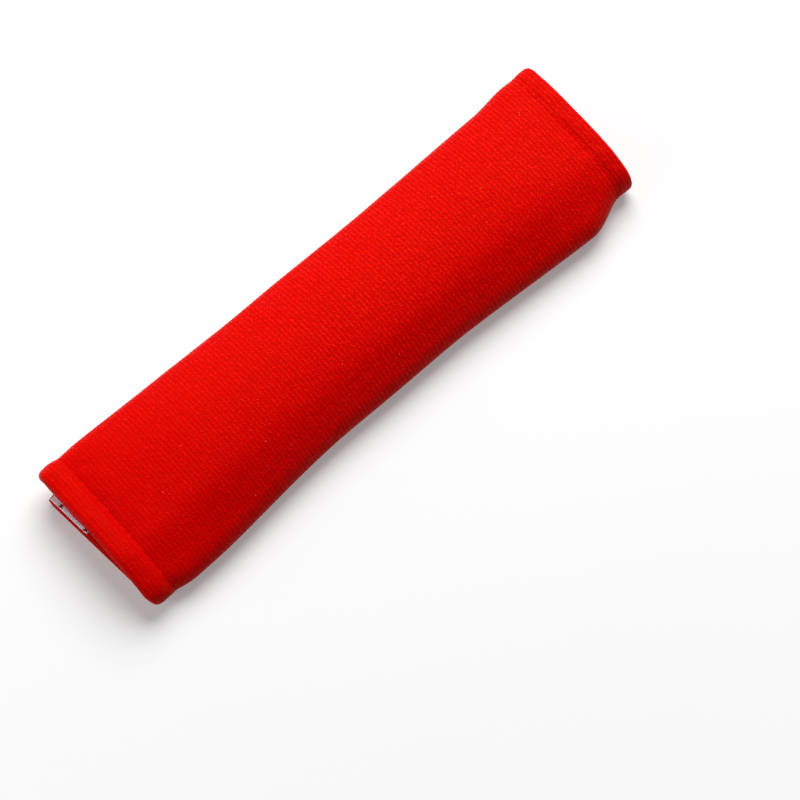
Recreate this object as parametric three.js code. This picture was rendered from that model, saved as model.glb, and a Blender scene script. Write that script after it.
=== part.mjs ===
// Seat belt shoulder pad: one padded panel wrapped round the belt and closed with hook-and-loop tape.
// Millimetres. X runs along the belt, Y across it, +Z up. The pad lies closed on its outer flap.
import * as THREE from 'three';

// The closed pad.
const LENGTH = 270;
const WAIST_WIDTH = 66;
const END_WIDTH = 72;
const FLARE_START = 25; // half the straight stretch at the waist
const WAIST_CROWN = 6; // the crown's rise above the high fold
const END_CROWN = 2.2;
const HIGH_FOLD_INSIDE = 2.2; // inside radius of the fold that joins the crown to the inner flap
const LOW_FOLD_DROP = 0.6; // the fold that joins the crown to the outer flap tops out this much lower
const OUTER_EDGE_BACK = 8.5; // the outer flap's free edge stops this far short of the waist's side
const SKEW = 4; // the outer flap is closed this far askew along the belt

// The layers of the panel.
const COVER = 0.9;
const FOAM = 2.4;
const FOAM_HEM = 1.2; // foam pressed thin under the turned hems
const FOAM_SEAM = 0.5; // foam pressed thinner still under the hem's seam
const LINING = 0.5;
const GAP = 0.3; // clearance between pieces that lie against each other

// The turned hems of the cover.
const END_SEAM = 11; // the seam's distance from the end
const SEAM_HALF = 2; // half the width of the groove that the seam pulls in
const END_TURN = 14; // the turned cover's width at the ends
const SIDE_TURN = 12; // the turned cover's width at the free long edges
const HEM_RISE = 4; // the stretch over which the foam regains its thickness

// The closure tapes.
const TAPE_WIDTH = 20;
const HOOK_TAPE = 0.8;
const LOOP_TAPE = 0.8;
const TAPE_BACK = 1.2; // fabric that shows beyond the tape's long edge
const TAPE_END_BACK = 0.8; // fabric that shows beyond the tape's ends
const TAPE_FOLD_BACK = 1; // flat fabric between the loop tape and the high fold, at the ends

// How finely the forms are faceted.
const FOLD_STEPS = 6;
const CROWN_STEPS = 9;
const BODY_STEPS = 12;
const ROUND_STEPS = 4;

const bodyThickness = COVER + GAP + FOAM + GAP + LINING;
const hemThickness = COVER + GAP + FOAM_HEM + GAP + LINING + GAP + COVER;
const seat = Math.max(bodyThickness, hemThickness);
const edgeRound = hemThickness / 2;
const innerFlapLevel = seat + GAP + HOOK_TAPE + GAP + LOOP_TAPE + GAP;
const highRadius = seat + HIGH_FOLD_INSIDE;
const highTop = innerFlapLevel + 2 * highRadius;
const lowRadius = (highTop - LOW_FOLD_DROP) / 2;
const halfLength = LENGTH / 2;

// The section across the pad at a place along it: two folds, and the crown as an arc tangent to both.
function sectionAt(x) {
  const flare = THREE.MathUtils.smoothstep(Math.abs(x), FLARE_START, halfLength);
  const width = THREE.MathUtils.lerp(WAIST_WIDTH, END_WIDTH, flare);
  const height = highTop + THREE.MathUtils.lerp(WAIST_CROWN, END_CROWN, flare);
  const low = { y: -width / 2 + lowRadius, z: lowRadius, r: lowRadius };
  const high = { y: width / 2 - highRadius, z: highTop - highRadius, r: highRadius };
  const crown = crownOver(low, high, height);
  crown.from = Math.atan2(low.z - crown.z, low.y - crown.y);
  crown.to = Math.atan2(high.z - crown.z, high.y - crown.y);
  low.from = 1.5 * Math.PI;
  low.to = crown.from;
  high.from = crown.to;
  high.to = -0.5 * Math.PI;
  return { low, high, crown, outerEdge: WAIST_WIDTH / 2 - OUTER_EDGE_BACK };
}

// The circle that touches two smaller ones from outside and has its top at the given height.
function crownOver(low, high, height) {
  const riseLow = height - low.r - low.z;
  const riseHigh = height - high.r - high.z;
  const a = 1 / riseLow - 1 / riseHigh;
  const b = -2 * (low.y / riseLow - high.y / riseHigh);
  const c = low.y ** 2 / riseLow - high.y ** 2 / riseHigh - (low.z - low.r) + (high.z - high.r);
  const root = Math.sqrt(b * b - 4 * a * c);
  const y = (2 * c) / (-b + (b > 0 ? -root : root));
  const z = (height - low.r + low.z - (y - low.y) ** 2 / riseLow) / 2;
  return { y, z, r: height - z };
}

// How much of the panel the section takes up, from the outer flap's free edge to the inner flap's start.
function wrapLength(section) {
  const arcs = [section.low, section.crown, section.high];
  const bends = arcs.reduce((sum, arc) => sum + arc.r * (arc.from - arc.to), 0);
  return section.outerEdge - section.low.y + bends;
}

const panelWidth = wrapLength(sectionAt(halfLength)) + TAPE_BACK + TAPE_WIDTH + TAPE_FOLD_BACK;

// A point of the folded panel. A place across it is a flap and the distance from that flap's free edge,
// or a bend and the share of it passed. depth goes inward from the panel's outer face.
function fold(x, place, depth) {
  const section = sectionAt(x);
  if (place.run === 'outerFlap') {
    const width = section.outerEdge - section.low.y;
    const askew = SKEW * (1 - place.at / width);
    return new THREE.Vector3(x - askew, section.outerEdge - place.at, depth);
  }
  if (place.run === 'innerFlap') {
    const freeEdge = section.high.y - (panelWidth - wrapLength(section));
    return new THREE.Vector3(x, freeEdge + place.at, innerFlapLevel + depth);
  }
  const arc = section[place.run];
  const angle = THREE.MathUtils.lerp(arc.from, arc.to, place.at);
  const radius = arc.r - depth;
  return new THREE.Vector3(x, arc.y + radius * Math.cos(angle), arc.z + radius * Math.sin(angle));
}

// The stations along the pad, by distance from its nearer end, and across it.
function stationsAlong(endBack) {
  const hem = [
    endBack,
    END_SEAM - 3 * SEAM_HALF,
    END_SEAM - SEAM_HALF,
    END_SEAM,
    END_TURN,
    END_TURN + HEM_RISE,
  ];
  const body = [];
  const bodyHalf = halfLength - END_TURN - HEM_RISE;
  for (let k = 1; k < BODY_STEPS; k++) body.push(-bodyHalf + (2 * bodyHalf * k) / BODY_STEPS);
  return [...hem.map((d) => d - halfLength), ...body, ...hem.map((d) => halfLength - d).reverse()];
}

function stationsAcross(edgeBack) {
  const hem = [edgeBack, SIDE_TURN / 2, SIDE_TURN, SIDE_TURN + HEM_RISE];
  const outer = [...hem, 2 * (SIDE_TURN + HEM_RISE)].map((at) => ({ run: 'outerFlap', at }));
  const inner = hem.map((at) => ({ run: 'innerFlap', at })).reverse();
  const bends = [
    ...bend('low', FOLD_STEPS),
    ...bend('crown', CROWN_STEPS),
    ...bend('high', FOLD_STEPS),
    { run: 'high', at: 1 },
  ];
  return [...outer, ...bends, ...inner];
}

function bend(run, steps) {
  return Array.from({ length: steps }, (_, k) => ({ run, at: k / steps }));
}

// How far a place lies inside the turned hems: 0 in them, 1 past the stretch where the foam regains its thickness.
function fullness(x, place) {
  const fromEnd = (halfLength - Math.abs(x) - END_TURN) / HEM_RISE;
  const onFlap = place.run === 'outerFlap' || place.run === 'innerFlap';
  const fromSide = onFlap ? (place.at - SIDE_TURN) / HEM_RISE : 1;
  return THREE.MathUtils.clamp(Math.min(fromEnd, fromSide), 0, 1);
}

// The groove that the end seams pull into the panel's outer face.
function groove(x) {
  const off = Math.abs(halfLength - Math.abs(x) - END_SEAM);
  return (FOAM_HEM - FOAM_SEAM) * Math.max(0, 1 - off / SEAM_HALF);
}

// The faces of the layers, as depths from the panel's plain outer face.
const coverOut = (x) => groove(x);
const coverIn = (x) => groove(x) + COVER;
const foamOut = (x) => groove(x) + COVER + GAP;
const foamIn = (x, place) => COVER + GAP + THREE.MathUtils.lerp(FOAM_HEM, FOAM, fullness(x, place));
const liningOut = (x, place) => foamIn(x, place) + GAP;
const liningIn = (x, place) => foamIn(x, place) + GAP + LINING;
const turnOut = () => hemThickness - COVER;
const turnIn = () => hemThickness;

// A closed surface made of grids of folded points and the strips that join them.
class Skin {
  constructor(along, across) {
    this.along = along;
    this.across = across;
    this.points = [];
    this.index = [];
  }

  point(x, place, depth) {
    this.points.push(...fold(x, place, depth).toArray());
    return this.points.length / 3 - 1;
  }

  // One face of a layer: a point at each station.
  grid(depthAt) {
    return this.along.map((x) => this.across.map((place) => this.point(x, place, depthAt(x, place))));
  }

  quad(a, b, c, d) {
    this.index.push(a, b, c, a, c, d);
  }

  // The grid's cells, apart from those that skip names, facing out of the pad or into it.
  cells(grid, outward, skip = () => false) {
    for (let i = 0; i + 1 < this.along.length; i++) {
      for (let j = 0; j + 1 < this.across.length; j++) {
        if (skip(i, j)) continue;
        const [a, b, c, d] = [grid[i][j], grid[i + 1][j], grid[i + 1][j + 1], grid[i][j + 1]];
        if (outward) this.quad(a, b, c, d);
        else this.quad(a, d, c, b);
      }
    }
  }

  // The stations on the border of a range of cells, in order round it.
  border(i0, i1, j0, j1) {
    const loop = [];
    for (let i = i0; i < i1; i++) loop.push([i, j0]);
    for (let j = j0; j < j1; j++) loop.push([i1, j]);
    for (let i = i1; i > i0; i--) loop.push([i, j1]);
    for (let j = j1; j > j0; j--) loop.push([i0, j]);
    return loop;
  }

  outerBorder() {
    return this.border(0, this.along.length - 1, 0, this.across.length - 1);
  }

  // A strip that joins two rings of points, facing away from what the ring goes round, or towards it.
  strip(ring, next, away) {
    ring.forEach((a, k) => {
      const m = (k + 1) % ring.length;
      const corners = [ring[m], a, next[k], next[m]];
      this.quad(...(away ? corners : corners.reverse()));
    });
  }

  // The rings of a half-round edge between two faces, each station moved out past the border.
  roundEdge(outer, inner, reach, outDepth, inDepth, away) {
    const loop = this.outerBorder();
    const lastI = this.along.length - 1;
    const lastJ = this.across.length - 1;
    let ring = loop.map(([i, j]) => outer[i][j]);
    for (let k = 1; k < ROUND_STEPS; k++) {
      const turn = (Math.PI * k) / ROUND_STEPS;
      const next = loop.map(([i, j]) => {
        const sideways = i === 0 || i === lastI;
        const edgeways = j === 0 || j === lastJ;
        const out = reach * Math.sin(turn) * (sideways && edgeways ? Math.SQRT1_2 : 1);
        const x = this.along[i] + (sideways ? Math.sign(this.along[i]) * out : 0);
        const place = { ...this.across[j] };
        if (edgeways) place.at -= out;
        const a = outDepth(this.along[i]);
        const depth = THREE.MathUtils.lerp(a, inDepth(), (1 - Math.cos(turn)) / 2);
        return this.point(x, place, depth);
      });
      this.strip(ring, next, away);
      ring = next;
    }
    this.strip(ring, loop.map(([i, j]) => inner[i][j]), away);
  }

  geometry() {
    const geometry = new THREE.BufferGeometry();
    geometry.setAttribute('position', new THREE.Float32BufferAttribute(this.points, 3));
    geometry.setIndex(this.index);
    geometry.computeVertexNormals();
    return geometry;
  }
}

// The knit cover: the panel's outer face, turned in round all four edges, open where the lining shows.
function coverGeometry() {
  const skin = new Skin(stationsAlong(edgeRound), stationsAcross(edgeRound));
  const outside = skin.grid(coverOut);
  const inside = skin.grid(coverIn);
  const turnUnder = skin.grid(turnOut);
  const turnOver = skin.grid(turnIn);
  const i0 = skin.along.indexOf(END_TURN - halfLength);
  const i1 = skin.along.length - 1 - i0;
  const j0 = skin.across.findIndex((place) => place.at === SIDE_TURN);
  const j1 = skin.across.length - 1 - j0;
  const window = (i, j) => i >= i0 && i < i1 && j >= j0 && j < j1;
  skin.cells(outside, true);
  skin.cells(inside, false);
  skin.cells(turnUnder, true, window);
  skin.cells(turnOver, false, window);
  skin.roundEdge(outside, turnOver, edgeRound, coverOut, turnIn, true);
  skin.roundEdge(inside, turnUnder, edgeRound - COVER, coverIn, turnOut, false);
  const loop = skin.border(i0, i1, j0, j1);
  skin.strip(loop.map(([i, j]) => turnUnder[i][j]), loop.map(([i, j]) => turnOver[i][j]), false);
  return skin.geometry();
}

// A layer inside the cover, from one depth to another.
function layerGeometry(outDepth, inDepth) {
  const back = edgeRound + GAP;
  const skin = new Skin(stationsAlong(back), stationsAcross(back));
  const outside = skin.grid(outDepth);
  const inside = skin.grid(inDepth);
  skin.cells(outside, true);
  skin.cells(inside, false);
  const loop = skin.outerBorder();
  skin.strip(loop.map(([i, j]) => outside[i][j]), loop.map(([i, j]) => inside[i][j]), true);
  return skin.geometry();
}

// A closure tape sewn along a flap's free edge, from one depth to another.
function tapeGeometry(run, outDepth, inDepth) {
  const along = stationsAlong(edgeRound + TAPE_END_BACK);
  const across = [TAPE_BACK, TAPE_BACK + TAPE_WIDTH].map((at) => ({ run, at }));
  if (run === 'innerFlap') across.reverse();
  const skin = new Skin(along, across);
  const outside = skin.grid(() => outDepth);
  const inside = skin.grid(() => inDepth);
  skin.cells(outside, true);
  skin.cells(inside, false);
  const loop = skin.outerBorder();
  skin.strip(loop.map(([i, j]) => outside[i][j]), loop.map(([i, j]) => inside[i][j]), true);
  return skin.geometry();
}

function fabric(color, roughness) {
  return new THREE.MeshStandardMaterial({ color, roughness, metalness: 0 });
}

function piece(name, geometry, material) {
  const mesh = new THREE.Mesh(geometry, material);
  mesh.name = name;
  return mesh;
}

const pad = new THREE.Group();
pad.add(piece('outer_cover', coverGeometry(), fabric(0xd20a05, 0.95)));
pad.add(piece('foam_core', layerGeometry(foamOut, foamIn), fabric(0xd8d4c8, 1)));
pad.add(piece('inner_lining', layerGeometry(liningOut, liningIn), fabric(0x7a0806, 0.9)));
pad.add(piece('hook_tape', tapeGeometry('outerFlap', seat + GAP, seat + GAP + HOOK_TAPE), fabric(0xd9d2e0, 0.6)));
pad.add(piece('loop_tape', tapeGeometry('innerFlap', -GAP - LOOP_TAPE, -GAP), fabric(0xd9d2e0, 0.9)));
pad.position.x = SKEW / 2;

export default pad;
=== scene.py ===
# Seat belt shoulder pad: the ribbed knit cover, its seams, the foam, the lining and the closure tapes.
import math

import bpy
import numpy as np
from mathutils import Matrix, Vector


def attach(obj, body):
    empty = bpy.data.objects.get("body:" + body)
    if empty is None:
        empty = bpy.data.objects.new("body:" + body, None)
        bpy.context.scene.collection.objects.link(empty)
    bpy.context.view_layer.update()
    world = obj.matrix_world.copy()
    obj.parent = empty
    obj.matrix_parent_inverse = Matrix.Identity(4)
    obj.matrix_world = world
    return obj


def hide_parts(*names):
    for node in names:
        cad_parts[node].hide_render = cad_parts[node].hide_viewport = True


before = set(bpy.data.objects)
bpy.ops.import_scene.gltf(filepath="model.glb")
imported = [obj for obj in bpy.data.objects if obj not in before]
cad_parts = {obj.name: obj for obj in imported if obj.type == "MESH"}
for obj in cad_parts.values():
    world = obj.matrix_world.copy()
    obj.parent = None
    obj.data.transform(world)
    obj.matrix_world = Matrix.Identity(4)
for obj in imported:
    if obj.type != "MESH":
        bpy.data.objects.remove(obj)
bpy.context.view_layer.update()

MM = 0.001

# The closed pad in millimetres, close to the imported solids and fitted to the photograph.
LENGTH = 270.0
HALF = LENGTH / 2
SKEW = 4.0  # the outer flap is closed this far askew along the belt
SHIFT = SKEW / 2
WAIST = {"width": 66.1, "crown": 6.2, "aside": 0.6}
NEAR_END = {"width": 72.4, "crown": 1.7, "aside": -1.1}
FAR_END = {"width": 71.6, "crown": 2.8, "aside": -0.8}
FLARE_START = {"width": 25.0, "crown": 70.0, "aside": 25.0}
OUTER_EDGE = 24.5  # the y of the outer flap's free edge
PANEL = 180.27  # across the panel, from free edge to free edge
THICK = 4.4
COVER = 0.9
LINING = 0.5
GAP = 0.3
HOOK_TAPE = LOOP_TAPE = 0.8
FLAP_LEVEL = THICK + 3 * GAP + HOOK_TAPE + LOOP_TAPE
HIGH_RADIUS = THICK + 2.2
HIGH_TOP = FLAP_LEVEL + 2 * HIGH_RADIUS
LOW_RADIUS = (HIGH_TOP - 0.6) / 2
ROUND = THICK / 2  # the radius of the panel's own edge
FACE_END = HALF - ROUND
NEAR_SEAM, FAR_SEAM = 11.0, 9.2
END_TURN = 14.0
SIDE_TURN = 12.0
HEM_RISE = 4.0
TAPE_WIDTH = 20.0
TAPE_BACK = 1.2
TAPE_END_BACK = 0.8
LOOP_TAPE_FADE = (155, 159)

# At the near end the outer flap reaches further across the pad and stops short along it.
FLAP_CHANGE_START = 20.0
FLAP_REACH = 4.0
FLAP_SHORT = 1.2
FLAP_SHORT_FADE = 24.0

# Where the soft pad lies off its plain form. A lump has a height, a middle and a spread. A ramp has a height
# and the places where it starts and ends.
SIDES = (-6, 34)
LOW_BULGE, HIGH_BULGE = 1.3, 0.5
LOW_NEAR_LUMP = (0.9, -92, 26)
LOW_FAR_LUMP = (0.5, 85, 34)
LOW_NEAR_TUCK = (1.6, 112, 128)
LOW_FAR_TUCK = (6.6, 108, 130)
LOW_NEAR_TIP, HIGH_NEAR_TIP = (1.2, 126, HALF), (0.8, 126, HALF)
HIGH_FAR_FLARE = (1.9, 104, 124)
HEM_BACK = (0.9, 9, 16)
HEM_BACK_START = HALF - 30
FAR_PULL_START = 60
FAR_PULL, FAR_PULL_LOW = 0.9, 0.2
LOW_SINK = (0.2, 14, 36)
LEAST_Z = 0.02

# The end seams and hems. A pair in brackets has the near end's value and the far end's.
STITCH_CUT = (0.5, 0.4)
STITCH_CUT_WIDTH = 1.3
VALLEY = (1.1, 0.6)
VALLEY_INSIDE, VALLEY_OUTSIDE = 5.5, 2.5
HEM_PUFF, HEM_PUFF_WIDTH = 0.2, 3.4
NEAR_ROLL, NEAR_ROLL_TURN = 1.85, 0.62 * np.pi
NEAR_ROLL_ASIDE, NEAR_ROLL_SPREAD = 11, 34
FAR_HEM_SINK = 0.4
FAR_DIP, FAR_DIP_ASIDE = 0.6, 4
FAR_DIP_ACROSS, FAR_DIP_ALONG = 12, 5
CROWN_SPREAD = 27

# Unevenness of the stuffed cloth: each one's wave, seed and height.
PUCKERS = ((7, 11, 0.16), (16, 12, 0.22))
SOFTNESS = ((60, 13, 0.16),)

# The knit and its sewing.
RIB = 1.89
RIB_HEIGHT = 0.11
RIB_SAMPLES = 6
RIB_ROUNDNESS = 0.8
TURNED_RIB_SHARE = 0.6
STITCH = 2.9
STITCH_GAP = 0.7
THREAD_RADIUS = 0.17
ZIGZAG_STEP = 0.55
ZIGZAG_HALF_WIDTH = 0.75
ZIGZAG_RADIUS = 0.27
ZIGZAG_OFF_WEB = 0.06
TAPE_SEAMS = (5.0, 18.5)  # the rows' places across each tape
WEB = 0.35  # the thickness of a tape's woven ground
WEB_OFF_FACE, WEB_OFF_TURNS = 0.1, 0.15


def smoothstep(low, high, value):
    share = np.clip((value - low) / (high - low), 0, 1)
    return share * share * (3 - 2 * share)


def ramp(value, height, start, stop):
    return height * smoothstep(start, stop, value)


def bell(value, middle, spread):
    return np.exp(-(((value - middle) / spread) ** 2))


def lump(value, height, middle, spread):
    return height * bell(value, middle, spread)


def wander(x, v, wave, seed):
    """Smooth unevenness between about -1 and 1, with bumps about one wave long."""
    rng = np.random.default_rng(seed)
    total = np.zeros(np.broadcast(x, v).shape)
    for _ in range(7):
        angle, phase = rng.uniform(0, 2 * np.pi, 2)
        step = 2 * np.pi / (wave * rng.uniform(0.7, 1.5))
        total = total + np.sin(step * (x * math.cos(angle) + v * math.sin(angle)) + phase)
    return total / 3


def unevenness(x, v, kinds):
    return sum(wander(x, v, wave, seed) * height for wave, seed, height in kinds)


def at_end(x, near, far):
    """The value for the end that x is nearer to."""
    return np.where(x > 0, far, near)


def sections(x):
    """The folded outline at each place along the pad: two folds, and the crown's arc that touches both. Each
    is given as its middle's y and z, its radius and the angles where it starts and stops."""
    size = {}
    for key, waist in WAIST.items():
        flare = smoothstep(FLARE_START[key], HALF, np.abs(x))
        size[key] = waist + (at_end(x, NEAR_END[key], FAR_END[key]) - waist) * flare
    height = HIGH_TOP + size["crown"]
    low_y = size["aside"] - size["width"] / 2 + LOW_RADIUS
    high_y = size["aside"] + size["width"] / 2 - HIGH_RADIUS
    high_z = HIGH_TOP - HIGH_RADIUS
    rise_low = height - 2 * LOW_RADIUS
    rise_high = height - HIGH_TOP
    a = 1 / rise_low - 1 / rise_high
    b = -2 * (low_y / rise_low - high_y / rise_high)
    c = low_y ** 2 / rise_low - high_y ** 2 / rise_high + FLAP_LEVEL
    root = np.sqrt(np.maximum(b * b - 4 * a * c, 0))
    crown_y = 2 * c / (-b + np.where(b > 0, -root, root))
    crown_z = (height - (crown_y - low_y) ** 2 / rise_low) / 2
    start = np.arctan2(LOW_RADIUS - crown_z, low_y - crown_y)
    stop = np.arctan2(high_z - crown_z, high_y - crown_y)
    return (
        (low_y, LOW_RADIUS, LOW_RADIUS, 1.5 * np.pi, start),
        (crown_y, crown_z, height - crown_z, start, stop),
        (high_y, high_z, HIGH_RADIUS, stop, -0.5 * np.pi),
    )


def fold(x, v, depth):
    """Points of the folded panel: x along it, v across it from the outer flap's free edge, depth inward
    from its outer face."""
    x, v, depth = np.broadcast_arrays(x, v, depth)
    arcs = sections(x)
    near = smoothstep(FLAP_CHANGE_START, HALF, -x)
    flap = OUTER_EDGE - arcs[0][0]
    out = np.clip(1 - v / flap, None, 1)
    y = OUTER_EDGE - v + FLAP_REACH * near * out
    z = depth + 0.0
    done = flap
    for middle_y, middle_z, radius, start, stop in arcs:
        angle = start - (v - done) / radius
        past = v > done
        y = np.where(past, middle_y + (radius - depth) * np.cos(angle), y)
        z = np.where(past, middle_z + (radius - depth) * np.sin(angle), z)
        done = done + radius * (start - stop)
    past = v > done
    y = np.where(past, arcs[2][0] - (v - done), y)
    z = np.where(past, FLAP_LEVEL + depth, z)
    x = x + SHIFT - SKEW * np.clip(out, 0, None)
    x = x + FLAP_SHORT * near * (1 - smoothstep(0, FLAP_SHORT_FADE, v - flap))
    return np.stack([x, y, z], -1)


def settle(points):
    """Moves points of the plain folded form to where the soft pad really lies."""
    x, y, z = np.moveaxis(points, -1, 0)
    low, high = smoothstep(*SIDES, -y), smoothstep(*SIDES, y)
    low_out = LOW_BULGE + lump(x, *LOW_NEAR_LUMP) + lump(x, *LOW_FAR_LUMP) - ramp(-x, *LOW_NEAR_TUCK)
    low_out = low_out - ramp(-x, *LOW_NEAR_TIP) - ramp(x, *LOW_FAR_TUCK)
    high_out = HIGH_BULGE - ramp(-x, *HIGH_NEAR_TIP) + ramp(x, *HIGH_FAR_FLARE)
    y = y - low * low_out + high * high_out
    hem_back = ramp(z, *HEM_BACK) * smoothstep(HEM_BACK_START, HALF, -x)
    x = x - hem_back + smoothstep(FAR_PULL_START, HALF, x) * (FAR_PULL + high - FAR_PULL_LOW * low)
    z = z * (1 - ramp(-y, *LOW_SINK))
    return np.stack([x, y, np.maximum(z, LEAST_Z)], -1)


def place(x, v, depth):
    return settle(fold(x, v, depth))


def crown_middle(x):
    """The place across the panel of the crown's middle."""
    low, crown, _ = sections(x)
    return OUTER_EDGE - low[0] + low[2] * (low[3] - low[4]) + crown[2] * (crown[3] - crown[4]) / 2


def rib(a):
    """How far the knit stands out of its base at a place along the cloth."""
    return RIB_HEIGHT * (np.abs(np.cos(np.pi * a / RIB)) ** RIB_ROUNDNESS - 0.5)


def free(v):
    """1 where the cover's face is free, 0 where the loop tape is sewn down on it."""
    return 1 - smoothstep(*LOOP_TAPE_FADE, v)


def end_seam(x):
    """How far the nearer end's seam is from that end."""
    return at_end(x, NEAR_SEAM, FAR_SEAM)


def swell(x, v):
    """How far the stuffed panel's outer face stands out of its plain form: seams, rolled hems, softness."""
    from_end, seam, middle = HALF - np.abs(x), end_seam(x), crown_middle(x)
    pucker = unevenness(x, v, PUCKERS)
    on_crown = bell(v, middle, CROWN_SPREAD)
    out = -at_end(x, *STITCH_CUT) * bell(from_end, seam, STITCH_CUT_WIDTH) * (0.4 + 0.6 * on_crown)
    valley = bell(from_end, seam, np.where(from_end > seam, VALLEY_INSIDE, VALLEY_OUTSIDE))
    out = out - (at_end(x, *VALLEY) + pucker) * valley * (0.3 + 0.7 * on_crown)
    out = out + (HEM_PUFF + pucker) * bell(from_end, seam / 2, HEM_PUFF_WIDTH)
    on_hem = np.clip(1 - from_end / seam, 0, 1)
    on_roll = bell(v, middle - NEAR_ROLL_ASIDE, NEAR_ROLL_SPREAD)
    near_hem = NEAR_ROLL * np.sin(NEAR_ROLL_TURN * on_hem) * on_roll
    out = out + at_end(x, near_hem, -FAR_HEM_SINK * on_hem * on_crown)
    dip = bell(v, middle - FAR_DIP_ASIDE, FAR_DIP_ACROSS) * bell(from_end, seam, FAR_DIP_ALONG) * (x > 0)
    return (out - FAR_DIP * dip + unevenness(x, v, SOFTNESS)) * free(v)


def border(rows, cols):
    """The grid places round a border, in order."""
    i = np.concatenate([np.arange(rows), np.full(cols, rows), np.arange(rows, 0, -1), np.zeros(cols, int)])
    j = np.concatenate([np.zeros(rows, int), np.arange(cols), np.full(rows, cols), np.arange(cols, 0, -1)])
    return i, j


def corners(grid):
    """The four corners of each cell of a grid."""
    return [grid[:-1, :-1], grid[1:, :-1], grid[1:, 1:], grid[:-1, 1:]]


ODD_WAY = (0.31, 0.17, 0.94)  # a direction that no thread runs in


class Skin:
    """A surface made of grids of points and the strips that join them."""

    def __init__(self):
        self.points = []
        self.cloth = []
        self.quads = []
        self.count = 0

    def add(self, points, along, across):
        """Adds points with their places along and across the cloth, and returns their numbers."""
        along, across = np.broadcast_arrays(along, across)
        cloth = np.stack([along, across, np.zeros(along.shape)], -1)
        self.points.append(points.reshape(-1, 3))
        self.cloth.append(np.broadcast_to(cloth, points.shape).reshape(-1, 3))
        shape = points.shape[:-1]
        size = math.prod(shape)
        numbers = np.arange(self.count, self.count + size).reshape(shape)
        self.count += size
        return numbers

    def cells(self, grid, outward=True, keep=None):
        quads = np.stack(corners(grid) if outward else corners(grid)[::-1], -1)
        self.quads.append(quads[keep] if keep is not None else quads.reshape(-1, 4))

    def strip(self, ring, after):
        self.quads.append(np.stack([np.roll(ring, -1), ring, after, np.roll(after, -1)], -1))

    def slab(self, along, across, outer, inner):
        """Adds a closed sheet between two depths."""
        x, v = along[:, None], across[None, :]
        outside = self.add(place(x, v, outer), x, v)
        inside = self.add(place(x, v, inner), x, v)
        self.cells(outside)
        self.cells(inside, False)
        i, j = border(len(along) - 1, len(across) - 1)
        self.strip(outside[i, j], inside[i, j])

    def threads(self, middles, radii, sides=6):
        """Adds round threads. Each has a row of middles, given as places along, across and into the cloth."""
        ahead = np.gradient(middles, axis=1)
        ahead /= np.linalg.norm(ahead, axis=-1, keepdims=True)
        side = np.cross(ahead, ODD_WAY)
        side /= np.linalg.norm(side, axis=-1, keepdims=True)
        up = np.cross(side, ahead)
        turn = np.linspace(0, 2 * np.pi, sides, endpoint=False)[:, None]
        ring = np.cos(turn) * side[:, :, None] + np.sin(turn) * up[:, :, None]
        ring = middles[:, :, None] + ring * np.asarray(radii)[None, :, None, None]
        along, across, depth = np.moveaxis(ring, -1, 0)
        numbers = self.add(place(along, across, depth), along, across)
        rows = np.concatenate([numbers, numbers[..., :1]], -1)
        quads = [rows[:, :-1, :-1], rows[:, :-1, 1:], rows[:, 1:, 1:], rows[:, 1:, :-1]]
        self.quads.append(np.stack(quads, -1).reshape(-1, 4))

    def piece(self, name, material):
        mesh = bpy.data.meshes.new(name)
        points = np.concatenate(self.points) * MM
        quads = np.concatenate(self.quads)
        mesh.vertices.add(len(points))
        mesh.vertices.foreach_set("co", points.astype(np.float32).ravel())
        mesh.loops.add(quads.size)
        mesh.loops.foreach_set("vertex_index", quads.astype(np.int32).ravel())
        mesh.polygons.add(len(quads))
        mesh.polygons.foreach_set("loop_start", np.arange(0, quads.size, 4, dtype=np.int32))
        mesh.polygons.foreach_set("loop_total", np.full(len(quads), 4, dtype=np.int32))
        mesh.polygons.foreach_set("use_smooth", np.ones(len(quads), dtype=bool))
        cloth = mesh.attributes.new("cloth", "FLOAT_VECTOR", "POINT")
        cloth.data.foreach_set("vector", np.concatenate(self.cloth).astype(np.float32).ravel())
        mesh.update(calc_edges=True)
        mesh.validate()
        mesh.materials.append(material)
        piece = bpy.data.objects.new(name, mesh)
        bpy.context.scene.collection.objects.link(piece)
        return piece


def spread(*stretches):
    """Places that run through stretches of (start, stop, step) at about each one's step."""
    places = [
        np.linspace(start, stop, max(1, round((stop - start) / step)), endpoint=False)
        for start, stop, step in stretches
    ]
    return np.concatenate([*places, [stretches[-1][1]]])


LOW_FOLD_START, CROWN_START, CROWN_STOP, HIGH_FOLD_STOP = 44, 82, 130, 160


def spread_across(back, *steps):
    """Places across the panel that stay back from its edges, with a step each for the outer flap, the low
    fold, the crown, the high fold and the inner flap."""
    edges = (back, LOW_FOLD_START, CROWN_START, CROWN_STOP, HIGH_FOLD_STOP, PANEL - back)
    return spread(*zip(edges, edges[1:], steps))


def weights_between(coarse, fine):
    """Each fine place's shares of the coarse places, for a smooth curve through them."""
    at = np.interp(fine, coarse, np.arange(len(coarse)))
    first = np.minimum(at.astype(int), len(coarse) - 2)
    t = at - first
    shares = (
        (-t + 2 * t ** 2 - t ** 3) / 2, (2 - 5 * t ** 2 + 3 * t ** 3) / 2,
        (t + 4 * t ** 2 - 3 * t ** 3) / 2, (t ** 3 - t ** 2) / 2,
    )
    weights = np.zeros((len(fine), len(coarse)))
    for step, share in enumerate(shares):
        np.add.at(weights, (np.arange(len(fine)), np.clip(first + step - 1, 0, len(coarse) - 1)), share)
    return weights


CLOTH_SCALE = 0.01
CLOTH_FRAMES = 20
MOST_SLACK = 0.7
STUFFING_HOLD = 0.13
SLACK_START, SLACK_STOP = 43, 155  # across the panel
EASE_WAVE, EASE_SEED, EASE_SPREAD = 11, 31, 16


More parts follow.
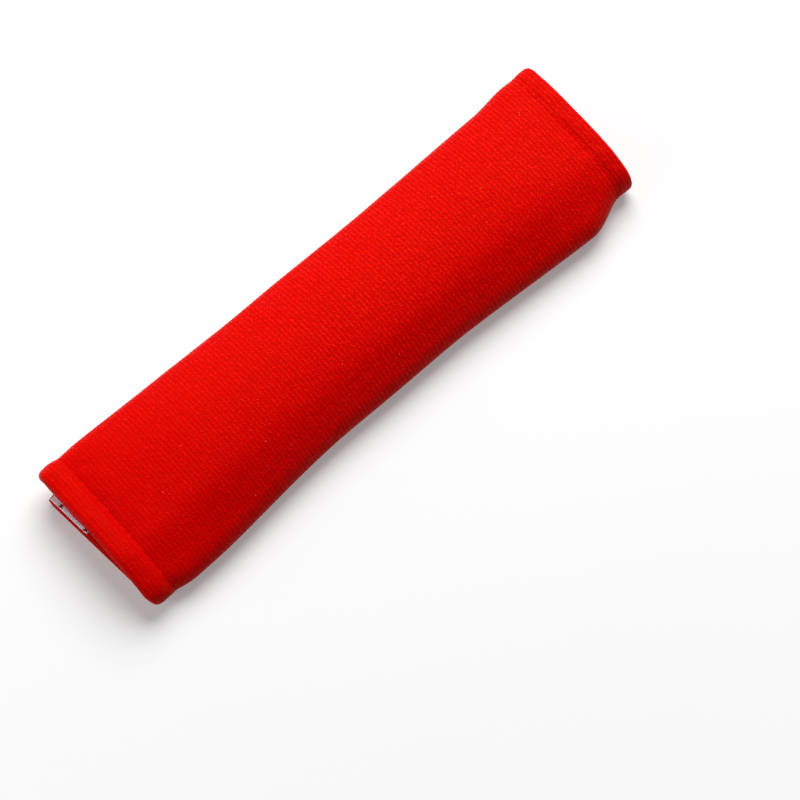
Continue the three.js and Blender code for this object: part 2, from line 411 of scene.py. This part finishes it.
def simulate_cloth(points, quads, held, ease):
    """Lets a sheet of cloth settle under the stuffing's pressure, held and eased by a weight for each point.
    Returns where its points come to lie."""
    mesh = bpy.data.meshes.new("slack")
    mesh.from_pydata((points * CLOTH_SCALE).tolist(), [], quads.tolist())
    cloth = bpy.data.objects.new("slack", mesh)
    bpy.context.scene.collection.objects.link(cloth)
    for name, weights in (("held", held), ("ease", ease)):
        group = cloth.vertex_groups.new(name=name)
        for number, weight in enumerate(weights.tolist()):
            group.add([number], weight, "REPLACE")
    modifier = cloth.modifiers.new("cloth", "CLOTH")
    settings = modifier.settings
    settings.quality = 4
    settings.mass = 0.15
    settings.tension_stiffness = settings.compression_stiffness = 25
    settings.shear_stiffness = 8
    settings.bending_stiffness = 0.6
    settings.air_damping = 4
    settings.vertex_group_mass = "held"
    settings.vertex_group_shrink = "ease"
    settings.shrink_min, settings.shrink_max = 0.0, -0.04
    settings.use_pressure = True
    settings.uniform_pressure_force = 0.1
    settings.effector_weights.gravity = 0
    modifier.collision_settings.use_collision = False
    modifier.point_cache.frame_start, modifier.point_cache.frame_end = 1, CLOTH_FRAMES
    for time in range(1, CLOTH_FRAMES + 1):
        bpy.context.scene.frame_set(time)
    settled = cloth.evaluated_get(bpy.context.evaluated_depsgraph_get()).data
    after = np.empty(points.size, dtype=np.float32)
    settled.vertices.foreach_get("co", after)
    bpy.data.objects.remove(cloth)
    bpy.data.meshes.remove(mesh)
    bpy.context.scene.frame_set(1)
    return after.reshape(points.shape) / CLOTH_SCALE


def slacken(along, across):
    """How far the cover's face moves outward at each place once it is simulated between its seams. The
    stuffing holds it softly and presses it outward, and the cloth is a little larger than its place."""
    near, far = NEAR_SEAM - HALF, HALF - FAR_SEAM
    x = spread((-FACE_END, near, 1.5), (near, far, 2.9), (far, FACE_END, 1.6))
    v = spread_across(ROUND, 14, 2.7, 3.0, 2.5, 8)
    gx, gv = x[:, None], v[None, :]
    points = place(gx, gv, -swell(gx, gv))
    quads = np.stack(corners(np.arange(len(x) * len(v)).reshape(len(x), len(v))), -1).reshape(-1, 4)
    from_end, seam = HALF - np.abs(gx), end_seam(gx)
    sewn = (from_end <= ROUND + 0.1) | (np.abs(from_end - seam) < 0.1)
    held = sewn | (gv < SLACK_START) | (gv > SLACK_STOP)
    near_seam = bell(from_end, seam, EASE_SPREAD)
    uneven = 0.5 + 0.5 * wander(gx, gv, EASE_WAVE, EASE_SEED)
    ease = np.clip(uneven * (0.25 + 0.75 * near_seam), 0, 1)
    held = np.maximum(held, STUFFING_HOLD)
    after = simulate_cloth(points.reshape(-1, 3), quads, held.ravel(), ease.ravel())
    moved = after.reshape(points.shape) - points
    outward = np.cross(
        place(gx + 1, gv, 0) - place(gx - 1, gv, 0),
        place(gx, gv + 1, 0) - place(gx, gv - 1, 0),
    )
    outward /= np.linalg.norm(outward, axis=-1, keepdims=True)
    moved = np.clip((moved * outward).sum(-1), -MOST_SLACK, MOST_SLACK)
    return weights_between(x, along) @ moved @ weights_between(v, across).T


def round_edge(skin, along, across, turns, ring=None):
    """Rings of ribbed cloth round the panel's edge, at each of the given turns in radians. The first one
    joins the given ring. Returns the last."""
    i, j = border(len(along) - 1, len(across) - 1)
    x, v = along[i], across[j]
    ends = (i == 0) | (i == len(along) - 1)
    sides = (j == 0) | (j == len(across) - 1)
    corner = np.where(ends & sides, 0.8, 1.0)
    x_way = np.where(ends, np.sign(x), 0)
    v_way = np.where(sides, np.sign(v - PANEL / 2), 0)
    for turn in turns:
        cloth_x = x + x_way * ROUND * turn
        high = rib(cloth_x)
        out = ROUND * math.sin(turn) * corner
        out_x = x + x_way * out + x_way * math.sin(turn) * high
        out_v = v + v_way * out + np.where(ends, 0, v_way) * math.sin(turn) * high
        lift = swell(x, v) * (1 + math.cos(turn)) / 2
        depth = ROUND * (1 - math.cos(turn)) - lift - math.cos(turn) * high
        after = skin.add(place(out_x, out_v, depth), cloth_x, v)
        if ring is not None:
            skin.strip(ring, after)
        ring = after
    return ring


def build_cover(material):
    skin = Skin()
    along = np.linspace(-FACE_END, FACE_END, round(2 * FACE_END / RIB) * RIB_SAMPLES + 1)
    across = spread_across(ROUND, 3.5, 1.4, 2.3, 1.2, 3.5)
    x, v = along[:, None], across[None, :]
    face = skin.add(place(x, v, -swell(x, v) - slacken(along, across) - rib(x) * free(v)), x, v)
    skin.cells(face)
    i, j = border(len(along) - 1, len(across) - 1)
    round_edge(skin, along, across, np.linspace(0, np.pi / 2, 5)[1:], face[i, j])
    return skin.piece("knit_cover", material)


def build_turns(material):
    """The cover's edges, turned in over the lining."""
    skin = Skin()
    lip = spread((-FACE_END, END_TURN - HALF, 0.5), (END_TURN - HALF, HALF - END_TURN, 0.63))
    along = np.concatenate([lip, -lip[lip < END_TURN - HALF][::-1]])
    low_turn = spread((ROUND, SIDE_TURN, 1.4))
    high_turn = spread((PANEL - SIDE_TURN, PANEL - ROUND, 1.4))
    across = np.concatenate([low_turn[:-1], spread_across(SIDE_TURN, 4, 2, 3.5, 1.8, 3)[:-1], high_turn])
    turns = np.linspace(np.pi / 2, np.pi, 5)[:-1]
    x, v = along[:, None], across[None, :]
    to_end, to_side = HALF - np.abs(x), np.minimum(v, PANEL - v)
    cloth_x = np.where(to_end < to_side, np.sign(x) * (HALF + ROUND * (np.pi - 2) + to_end), x)
    keep_x = (to_end[:-1] + to_end[1:]) / 2 < END_TURN
    keep_v = (to_side[:, :-1] + to_side[:, 1:]) / 2 < SIDE_TURN
    keep = keep_x | keep_v
    over = skin.add(place(x, v, THICK + rib(cloth_x) * TURNED_RIB_SHARE), cloth_x, v)
    skin.cells(over, False, keep)
    i, j = border(len(along) - 1, len(across) - 1)
    skin.strip(round_edge(skin, along, across, turns), over[i, j])
    under = skin.add(place(x, v, THICK - COVER), cloth_x, v)
    skin.cells(under, True, keep)
    return skin.piece("cover_turned_edges", material)


def build_layer(name, material, outer, inner):
    """A layer inside the cover, from one depth to another."""
    skin = Skin()
    back = ROUND + GAP
    along = spread((back - HALF, HALF - back, 3.0))
    across = spread_across(back, 3, 1.6, 2.6, 1.4, 3)
    x, v = along[:, None], across[None, :]
    skin.slab(along, across, outer(x, v), inner(x, v))
    return skin.piece(name, material)


def fullness(x, v):
    """0 under the turned edges, 1 where the foam has its whole thickness."""
    from_end = (HALF - np.abs(x) - END_TURN) / HEM_RISE
    from_side = (np.minimum(v, PANEL - v) - SIDE_TURN) / HEM_RISE
    return np.clip(np.minimum(from_end, from_side), 0, 1)


def lining_depth(x, v):
    return THICK - LINING - (GAP + COVER) * (1 - fullness(x, v))


# Shader helpers.
def feed(tree, socket, value):
    """Links a socket to the given one, or sets it to a number or colour."""
    if isinstance(value, bpy.types.NodeSocket):
        tree.links.new(value, socket)
    else:
        socket.default_value = value


def calc(tree, operation, *values, clamp=False):
    """A Math node's result. Each value is a number or a socket."""
    node = tree.nodes.new("ShaderNodeMath")
    node.operation = operation
    node.use_clamp = clamp
    for socket, value in zip(node.inputs, values):
        feed(tree, socket, value)
    return node.outputs[0]


def about_half(tree, value, gain, rest, clamp=False):
    """The value's distance from one half, times the gain, on top of the rest."""
    return calc(tree, "MULTIPLY_ADD", calc(tree, "SUBTRACT", value, 0.5), gain, rest, clamp=clamp)


def wave(tree, value, pitch):
    """Rises from 0 to 1 and back over each pitch."""
    return calc(tree, "ABSOLUTE", calc(tree, "SINE", calc(tree, "MULTIPLY", value, math.pi / pitch)))


def combine(tree, x, y, z):
    node = tree.nodes.new("ShaderNodeCombineXYZ")
    for socket, value in zip(node.inputs, (x, y, z)):
        feed(tree, socket, value)
    return node.outputs[0]


def separate(tree, vector):
    node = tree.nodes.new("ShaderNodeSeparateXYZ")
    tree.links.new(vector, node.inputs[0])
    return node.outputs


def noise(tree, vector, scale, detail):
    node = tree.nodes.new("ShaderNodeTexNoise")
    node.inputs["Scale"].default_value = scale
    node.inputs["Detail"].default_value = detail
    tree.links.new(vector, node.inputs["Vector"])
    return node.outputs["Fac"]


def blend_colour(tree, share, first, second):
    node = tree.nodes.new("ShaderNodeMix")
    node.data_type = "RGBA"
    feed(tree, node.inputs[0], share)
    for socket, value in ((node.inputs[6], first), (node.inputs[7], second)):
        feed(tree, socket, (*value, 1.0) if isinstance(value, tuple) else value)
    return node.outputs[2]


def blend_shader(tree, share, first, second):
    node = tree.nodes.new("ShaderNodeMixShader")
    for socket, value in zip(node.inputs, (share, first, second)):
        tree.links.new(value, socket)
    return node.outputs[0]


def seen_ray(tree):
    """1 for a ray from the camera, also by way of a gloss or a clear piece, and 0 for any other."""
    path = tree.nodes.new("ShaderNodeLightPath").outputs
    seen = calc(tree, "MAXIMUM", path["Is Camera Ray"], path["Is Glossy Ray"])
    return calc(tree, "MAXIMUM", seen, path["Is Transmission Ray"])


FLOAT, VECTOR = "NodeSocketFloat", "NodeSocketVector"


def new_group(name, inputs, outputs):
    group = bpy.data.node_groups.new(name, "ShaderNodeTree")
    for title, kind, value in inputs:
        socket = group.interface.new_socket(title, in_out="INPUT", socket_type=kind)
        if value is not None:
            socket.default_value = value
    for title in outputs:
        group.interface.new_socket(title, in_out="OUTPUT", socket_type=FLOAT)
    return group, group.nodes.new("NodeGroupInput").outputs, group.nodes.new("NodeGroupOutput").inputs


DASH_LENGTH = 2.2
LOOP_PITCH = 0.95
RIB_DRIFT = 0.5
FIBRE_STRETCH = 2.4
LINT_SPACING = 7.0
LINT_SIZE = 0.038


def make_rib_group():
    """The knit's ribs, the yarn's uneven dashes along them, its loops and its fibres, from places on the
    cloth in millimetres."""
    group, given, out = new_group(
        "knit ribs",
        [
            ("Cloth", VECTOR, None), ("Rib Pitch", FLOAT, RIB),
            ("Dash Length", FLOAT, DASH_LENGTH), ("Loop Pitch", FLOAT, LOOP_PITCH),
        ],
        ("Height", "Crest", "Dashes", "Fibres"),
    )
    x, y, _ = separate(group, given["Cloth"])
    drift = noise(group, given["Cloth"], 0.22, 1.0)
    turns = calc(group, "DIVIDE", x, given["Rib Pitch"])
    turns = calc(group, "ADD", turns, calc(group, "MULTIPLY_ADD", drift, RIB_DRIFT, -RIB_DRIFT / 2))
    crest = calc(group, "ABSOLUTE", calc(group, "COSINE", calc(group, "MULTIPLY", turns, math.pi)))
    number = calc(group, "ROUND", turns)
    aside = calc(group, "SUBTRACT", turns, number)
    run = calc(group, "DIVIDE", y, given["Dash Length"])
    slant = calc(group, "MULTIPLY_ADD", aside, 0.9, run)
    dashes = noise(group, combine(group, calc(group, "MULTIPLY", number, 7.31), slant, 0.0), 1.0, 2.0)
    dashes = about_half(group, dashes, 2.4, 0.5, clamp=True)
    leg = calc(group, "DIVIDE", y, given["Loop Pitch"])
    leg = calc(group, "MULTIPLY_ADD", calc(group, "ABSOLUTE", aside), 1.1, leg)
    leg = wave(group, leg, 1.0)
    grain = combine(group, calc(group, "MULTIPLY", x, FIBRE_STRETCH), y, 0.0)
    fibres = noise(group, grain, 1.0, 3.0)
    height = calc(group, "MULTIPLY_ADD", leg, 0.35, calc(group, "MULTIPLY", dashes, 0.3))
    height = calc(group, "MULTIPLY_ADD", fibres, 0.9, height)
    for socket, value in zip(out, (height, crest, dashes, fibres)):
        group.links.new(value, socket)
    return group


def make_fleck_group():
    """Sparse specks of lint and broad unevenness of the dye."""
    group, given, out = new_group(
        "lint and dye",
        [("Cloth", VECTOR, None), ("Spacing", FLOAT, LINT_SPACING), ("Size", FLOAT, LINT_SIZE)],
        ("Lint", "Dye"),
    )
    cells = group.nodes.new("ShaderNodeTexVoronoi")
    scaled = group.nodes.new("ShaderNodeVectorMath")
    scaled.operation = "DIVIDE"
    group.links.new(given["Cloth"], scaled.inputs[0])
    group.links.new(combine(group, given["Spacing"], given["Spacing"], 1.0), scaled.inputs[1])
    group.links.new(scaled.outputs[0], cells.inputs["Vector"])
    cells.inputs["Scale"].default_value = 1.0
    group.links.new(calc(group, "LESS_THAN", cells.outputs["Distance"], given["Size"]), out["Lint"])
    group.links.new(noise(group, given["Cloth"], 0.05, 3.0), out["Dye"])
    return group


def start_material(name):
    """A new material, its nodes, its shader and the places on the cloth."""
    material = bpy.data.materials.new(name)
    material.use_nodes = True
    tree = material.node_tree
    cloth = tree.nodes.new("ShaderNodeAttribute")
    cloth.attribute_name = "cloth"
    return material, tree, tree.nodes["Principled BSDF"], cloth.outputs["Vector"]


def use_group(tree, group, cloth):
    node = tree.nodes.new("ShaderNodeGroup")
    node.node_tree = group
    tree.links.new(cloth, node.inputs["Cloth"])
    return node.outputs


def bump(tree, shader, height, distance):
    node = tree.nodes.new("ShaderNodeBump")
    node.inputs["Distance"].default_value = distance
    node.inputs["Strength"].default_value = 1.0
    tree.links.new(height, node.inputs["Height"])
    tree.links.new(node.outputs[0], shader.inputs["Normal"])


def set_shader(shader, **values):
    for title, value in values.items():
        shader.inputs[title.replace("_", " ")].default_value = value


def place_share(tree, cloth, start, stop, low, high):
    """A value that goes from low to high between two places along the cloth."""
    node = tree.nodes.new("ShaderNodeMapRange")
    for socket, value in zip(node.inputs[1:5], (start, stop, low, high)):
        socket.default_value = value
    tree.links.new(separate(tree, cloth)["X"], node.inputs["Value"])
    return node.outputs["Result"]


# The deep red is partly painted shade in the rib valleys, and the orange-tinted third red is a painted
# highlight on the lightest dashes.
DEEP_RED, RED, HIGHLIGHT_RED = (0.49, 0.0, 0.0), (0.73, 0.0, 0.0), (0.86, 0.0065, 0.002)
LINT_COLOUR = (0.9, 0.12, 0.1)
# Along the pad the knit's contrast and its painted highlights fade toward the near end: painted shade where
# that end slopes away from the light.
SHADED_TEXTURE_AT, LIT_TEXTURE_AT = -110.0, 10.0
MIDDLE_TONE = 0.4


def make_knit(ribs, flecks):
    material, tree, shader, cloth = start_material("red ribbed knit")
    knit = use_group(tree, ribs, cloth)
    fleck = use_group(tree, flecks, cloth)
    # The rib's crest lightens the colour and its valleys darken it: painted shade between the ribs, on top of
    # the real relief.
    tone = calc(tree, "MULTIPLY_ADD", knit["Crest"], 0.5, 0.12)
    tone = about_half(tree, knit["Dashes"], 0.3, tone)
    tone = about_half(tree, knit["Fibres"], 2.4, tone)
    # The knit's contrast is halved toward the near end: painted shade there.
    lit_share = place_share(tree, cloth, SHADED_TEXTURE_AT, LIT_TEXTURE_AT, 0.5, 1.0)
    tone = calc(tree, "MULTIPLY_ADD", calc(tree, "SUBTRACT", tone, MIDDLE_TONE), lit_share, MIDDLE_TONE)
    tone = about_half(tree, fleck["Dye"], 0.12, tone, clamp=True)
    colour = blend_colour(tree, tone, DEEP_RED, RED)
    # The lightest dashes take an orange-tinted painted highlight and a lower roughness.
    highlight_share = calc(tree, "MULTIPLY_ADD", tone, 2.6, -1.4, clamp=True)
    colour = blend_colour(tree, highlight_share, colour, HIGHLIGHT_RED)
    colour = blend_colour(tree, calc(tree, "MULTIPLY", fleck["Lint"], 0.5), colour, LINT_COLOUR)
    tree.links.new(colour, shader.inputs["Base Color"])
    tree.links.new(calc(tree, "MULTIPLY_ADD", highlight_share, -0.15, 0.55), shader.inputs["Roughness"])
    set_shader(
        shader, Sheen_Weight=0.13, Sheen_Roughness=0.25, Sheen_Tint=(1.0, 0.42, 0.06, 1.0),
        Specular_IOR_Level=0.07, Specular_Tint=(1.0, 0.3, 0.1, 1.0),
    )
    bump(tree, shader, knit["Height"], 0.00022)
    return material


def make_plain(name, dark, light, grain, depth, roughness):
    """A cloth or foam with a fine grain of its own."""
    material, tree, shader, cloth = start_material(name)
    fine = noise(tree, cloth, grain, 3.0)
    tree.links.new(blend_colour(tree, fine, dark, light), shader.inputs["Base Color"])
    set_shader(shader, Roughness=roughness, Specular_IOR_Level=0.1)
    bump(tree, shader, fine, depth)
    return material


NYLON_SHADE, NYLON_WHITE = (0.75, 0.6, 0.9), (1.0, 1.0, 1.0)
WEAVE_ALONG, WEAVE_ACROSS = 0.85, 0.5


def make_nylon():
    """The tapes' whitish nylon, with the lines of its weave across each tape."""
    material, tree, shader, cloth = start_material("whitish nylon")
    x, y, _ = separate(tree, cloth)
    picks, ends = wave(tree, x, WEAVE_ALONG), wave(tree, y, WEAVE_ACROSS)
    share = calc(tree, "MULTIPLY_ADD", ends, 0.2, calc(tree, "MULTIPLY", picks, 0.9))
    share = about_half(tree, noise(tree, cloth, 1.6, 2.0), 0.9, share, clamp=True)
    tree.links.new(blend_colour(tree, share, NYLON_SHADE, NYLON_WHITE), shader.inputs["Base Color"])
    set_shader(shader, Roughness=0.45, Specular_IOR_Level=0.6)
    bump(tree, shader, share, 0.00015)
    return material


FLOOR_GREY = 0.62
FLOOR_GLOW = 0.26
FLOOR_HALF = 4
WHITE_GAIN, WHITE_START = 2.0, 0.32
WORLD_UNSEEN, WORLD_SEEN_MORE = 0.08, 0.92


def make_floor():
    """A pale matt floor that keeps the pad's shadow, and is seen as plain white farther away."""
    material = bpy.data.materials.new("pale floor")
    material.use_nodes = True
    tree = material.node_tree
    tree.nodes.clear()
    matt = tree.nodes.new("ShaderNodeBsdfDiffuse")
    matt.inputs["Color"].default_value = (FLOOR_GREY, FLOOR_GREY, FLOOR_GREY, 1)
    glow = tree.nodes.new("ShaderNodeEmission")
    glow.inputs["Strength"].default_value = FLOOR_GLOW
    white = tree.nodes.new("ShaderNodeEmission")
    both = tree.nodes.new("ShaderNodeAddShader")
    tree.links.new(matt.outputs[0], both.inputs[0])
    tree.links.new(glow.outputs[0], both.inputs[1])
    away = tree.nodes.new("ShaderNodeVectorMath")
    away.operation = "LENGTH"
    tree.links.new(tree.nodes.new("ShaderNodeNewGeometry").outputs["Position"], away.inputs[0])
    far = calc(tree, "MULTIPLY_ADD", away.outputs["Value"], WHITE_GAIN, -WHITE_START, clamp=True)
    shown = blend_shader(tree, far, both.outputs[0], white.outputs[0])
    surface = blend_shader(tree, seen_ray(tree), matt.outputs[0], shown)
    tree.links.new(surface, tree.nodes.new("ShaderNodeOutputMaterial").inputs[0])
    return material


# The photograph's view.
AZIMUTH, ELEVATION = -41.94, 70.41
CAMERA_DISTANCE = 1.134
FOCAL_PIXELS = 2760
IMAGE_PIXELS = 800
AIM = Vector((-1.3, -37.8, 10.0)) * MM
IMAGE_RIGHT = Vector((math.cos(math.radians(AZIMUTH)), math.sin(math.radians(AZIMUTH)), 0))
IMAGE_UP = Vector((-IMAGE_RIGHT.y, IMAGE_RIGHT.x, 0))
UP = Vector((0, 0, 1))

# Each light's direction, distance, size and power.
KEY_LIGHT = (IMAGE_UP * 0.64 + IMAGE_RIGHT * 0.06 + UP * 0.76, 2.2, 1.9, 74)
FILL_LIGHT = (-IMAGE_UP * 0.34 - IMAGE_RIGHT * 0.94 + UP * 0.36, 1.6, 1.2, 10)


def add_camera():
    tilt = math.radians(ELEVATION)
    away = -IMAGE_UP * math.cos(tilt) + Vector((0, 0, math.sin(tilt)))
    data = bpy.data.cameras.new("camera")
    data.lens = FOCAL_PIXELS / IMAGE_PIXELS * data.sensor_width
    camera = bpy.data.objects.new("camera", data)
    camera.location = AIM + away * CAMERA_DISTANCE
    camera.rotation_euler = (-away).to_track_quat("-Z", "Y").to_euler()
    bpy.context.scene.collection.objects.link(camera)
    bpy.context.scene.camera = camera


def add_light(name, direction, distance, size, power):
    data = bpy.data.lights.new(name, "AREA")
    data.shape = "DISK"
    data.size = size
    data.energy = power
    light = bpy.data.objects.new(name, data)
    light.location = AIM + direction.normalized() * distance
    light.rotation_euler = (-direction).to_track_quat("-Z", "Y").to_euler()
    bpy.context.scene.collection.objects.link(light)


def add_studio():
    world = bpy.data.worlds.new("studio")
    bpy.context.scene.world = world
    world.use_nodes = True
    tree = world.node_tree
    back = tree.nodes["Background"].inputs
    back["Color"].default_value = (1, 1, 1, 1)
    strength = calc(tree, "MULTIPLY_ADD", seen_ray(tree), WORLD_SEEN_MORE, WORLD_UNSEEN)
    tree.links.new(strength, back["Strength"])
    add_light("key light", *KEY_LIGHT)
    add_light("fill light", *FILL_LIGHT)
    mesh = bpy.data.meshes.new("floor")
    half = FLOOR_HALF
    ground = [(-half, -half, 0), (half, -half, 0), (half, half, 0), (-half, half, 0)]
    mesh.from_pydata(ground, [], [(0, 1, 2, 3)])
    mesh.materials.append(make_floor())
    floor = bpy.data.objects.new("floor", mesh)
    bpy.context.scene.collection.objects.link(floor)
    bpy.context.scene.view_settings.view_transform = "Standard"


def dress(piece, slot, *nodes):
    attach(piece, "root")
    if nodes:
        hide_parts(*nodes)


def tape_span(on_inner_flap):
    """The places across the panel of a tape's two edges."""
    start = PANEL - TAPE_BACK - TAPE_WIDTH if on_inner_flap else TAPE_BACK
    return start, start + TAPE_WIDTH


def build_web(name, material, on_inner_flap):
    """A tape's woven ground."""
    skin = Skin()
    outer = -WEB_OFF_FACE - WEB if on_inner_flap else THICK + WEB_OFF_TURNS
    along = spread((TAPE_END_BACK - HALF, HALF - TAPE_END_BACK, 1.0))
    across = spread((*tape_span(on_inner_flap), 0.8))
    skin.slab(along, across, outer, outer + WEB)
    return skin.piece(name, material)


HOOK_PITCH, LOOP_PILE_PITCH = 1.5, 1.35
HOOK_RISE, HOOK_CURL, HOOK_REACH = 0.75, 0.26, 0.28
HOOK_BEND = 0.45  # a hook bends over past this share of its length
HOOK_SEED, LOOP_SEED = 21, 22
PILE_JITTER = 0.18
HOOK_RADII = (0.13, 0.12, 0.12, 0.12, 0.11, 0.07)
LOOP_HEIGHT = 0.75
LOOP_RADIUS = 0.07


def pile_places(on_inner_flap, pitch, seed):
    """Places of a tape's hooks or loops, in uneven rows between its plain edges, and the source of random
    numbers that goes on from them."""
    start, stop = tape_span(on_inner_flap)
    x = np.arange(-HALF + TAPE_END_BACK + 2.3, HALF - TAPE_END_BACK - 2.2, pitch)
    v = np.arange(start + 1.8, stop - 1.7, pitch)
    grid = np.stack(np.meshgrid(x, v, indexing="ij"), -1).reshape(-1, 2)
    rng = np.random.default_rng(seed)
    return grid + rng.uniform(-PILE_JITTER, PILE_JITTER, grid.shape) * pitch, rng


def build_hooks(material):
    """Rows of small bent hooks that stand on the outer flap's tape."""
    skin = Skin()
    places, rng = pile_places(False, HOOK_PITCH, HOOK_SEED)
    steps = np.linspace(0, 1, len(HOOK_RADII))
    bend = np.clip(steps - HOOK_BEND, 0, None) / (1 - HOOK_BEND) * np.pi
    reach = HOOK_REACH * (1 - np.cos(bend))
    rise = HOOK_RISE * np.minimum(steps / HOOK_BEND, 1) + HOOK_CURL * np.sin(bend)
    way = np.where(rng.random(len(places)) > 0.5, 1, -1)[:, None]
    x = places[:, :1] + reach * way
    v = np.broadcast_to(places[:, 1:], x.shape)
    depth = np.broadcast_to(THICK + WEB_OFF_TURNS + WEB + rise, x.shape)
    skin.threads(np.stack([x, v, depth], -1), HOOK_RADII, 4)
    return skin.piece("hook_tape_hooks", material)


def build_loops(material):
    """The loop tape's pile: small arches that lie every way."""
    skin = Skin()
    places, rng = pile_places(True, LOOP_PILE_PITCH, LOOP_SEED)
    turn = rng.uniform(0, np.pi, len(places))[:, None]
    half = np.linspace(-1, 1, 7)
    size = rng.uniform(0.5, 0.9, len(places))[:, None]
    middles = np.stack([
        places[:, :1] + half * size * np.cos(turn),
        places[:, 1:] + half * size * np.sin(turn),
        -WEB_OFF_FACE - WEB - (1 - half ** 2) * LOOP_HEIGHT * size,
    ], -1)
    skin.threads(middles, np.full(len(half), LOOP_RADIUS), 3)
    return skin.piece("loop_tape_pile", material)


STITCH_OFF_FACE = 0.05
STITCH_OFF_TURNS = 0.1
TAPE_STITCH_OFF_TURNS = 0.12
STITCH_RISE, STITCH_SINK = 0.1, 0.2
STITCH_TAPER = np.array([0.25, 0.8, 1, 1, 1, 0.8, 0.25])


def stitch_run(start, stop):
    """The starts of a row's stitches."""
    return np.arange(start, stop - STITCH, STITCH + STITCH_GAP)


def sew(skin, x, v, ahead_x, ahead_v, depth=None):
    """Stitches that start at the given places and lie a little sunk at both ends, on the cover's face or,
    where a depth is given, on the turned edges inside."""
    step = np.linspace(0, 1, len(STITCH_TAPER))
    x = np.reshape(x, (-1, 1)) + ahead_x * step
    v = np.reshape(v, (-1, 1)) + ahead_v * step
    x, v = np.broadcast_arrays(x, v)
    arch = np.sin(np.pi * step) ** 0.6
    rise = STITCH_RISE * arch - STITCH_SINK * (1 - arch)
    if depth is None:
        lie = -swell(x, v) - STITCH_OFF_FACE - rise
    else:
        lie = np.broadcast_to(depth + rise, x.shape)
    skin.threads(np.stack([x, v, lie], -1), THREAD_RADIUS * STITCH_TAPER)


def build_end_seams(material):
    """The rows that close the pad's two ends, seen outside on the cover and inside on its turned edges."""
    skin = Skin()
    starts = stitch_run(3, PANEL - 3)
    within = starts[starts > TAPE_BACK + TAPE_WIDTH + 1]
    for x in (NEAR_SEAM - HALF, HALF - FAR_SEAM):
        sew(skin, x, starts, 0, STITCH)
        sew(skin, x, within, 0, STITCH, THICK + STITCH_OFF_TURNS)
    return skin.piece("end_seam_stitches", material)


def build_tape_seams(material):
    """The plain rows that show where both tapes are sewn through the panel."""
    skin = Skin()
    starts = stitch_run(6 - HALF, HALF - 6)
    for on_inner_flap in (False, True):
        depth = THICK + TAPE_STITCH_OFF_TURNS if on_inner_flap else None
        for row in TAPE_SEAMS:
            sew(skin, starts, tape_span(on_inner_flap)[0] + row, STITCH, 0, depth)
    return skin.piece("tape_seam_stitches", material)


def build_tape_zigzags(material):
    """The same rows on the tapes: a close zigzag."""
    skin = Skin()
    starts = np.arange(TAPE_END_BACK + 0.3 - HALF, HALF - TAPE_END_BACK - 0.9, ZIGZAG_STEP)[:, None]
    side = np.where(np.arange(len(starts)) % 2 == 0, 1, -1)[:, None]
    step = np.linspace(-1, 1, 4)
    along = starts + (step + 1) * ZIGZAG_STEP / 2
    for on_inner_flap in (False, True):
        top = -WEB_OFF_FACE - WEB - ZIGZAG_OFF_WEB
        if not on_inner_flap:
            top = THICK + WEB_OFF_TURNS + WEB + ZIGZAG_OFF_WEB
        for row in TAPE_SEAMS:
            across = tape_span(on_inner_flap)[0] + row + ZIGZAG_HALF_WIDTH * step * side
            middles = np.stack([along, across, np.full(across.shape, top)], -1)
            skin.threads(middles, np.full(len(step), ZIGZAG_RADIUS), 5)
    return skin.piece("tape_seam_zigzags", material)


add_camera()
add_studio()

knit_cloth = make_knit(make_rib_group(), make_fleck_group())
foam = make_plain("open foam", (0.5, 0.48, 0.4), (0.72, 0.7, 0.62), 1.5, 0.0003, 1.0)
tricot = make_plain("dark red tricot", (0.12, 0.003, 0.003), (0.24, 0.008, 0.006), 2.5, 0.0002, 0.8)
thread = make_plain("red thread", (0.6, 0.0, 0.0), (0.85, 0.0005, 0.0004), 3.0, 0.0001, 0.9)
dark_thread = make_plain("dark red thread", (0.22, 0.0002, 0.0002), (0.42, 0.001, 0.001), 3.0, 0.0001, 0.7)
nylon = make_nylon()

cover = build_cover(knit_cloth)
dress(cover, "cover_knit", "outer_cover")
dress(build_turns(knit_cloth), "cover_knit")
foam_sheet = build_layer(
    "foam_sheet", foam, lambda x, v: COVER + 2 * GAP - swell(x, v), lambda x, v: lining_depth(x, v) - GAP
)
dress(foam_sheet, "foam", "foam_core")
lining = build_layer("lining", tricot, lining_depth, lambda x, v: lining_depth(x, v) + LINING)
dress(lining, "lining_tricot", "inner_lining")
dress(build_web("hook_tape_web", nylon, False), "hook_tape", "hook_tape")
dress(build_hooks(nylon), "hook_tape")
dress(build_web("loop_tape_web", nylon, True), "loop_tape", "loop_tape")
dress(build_loops(nylon), "loop_tape")
dress(build_end_seams(thread), "cover_knit")
dress(build_tape_seams(thread), "cover_knit")
dress(build_tape_zigzags(dark_thread), "cover_knit")
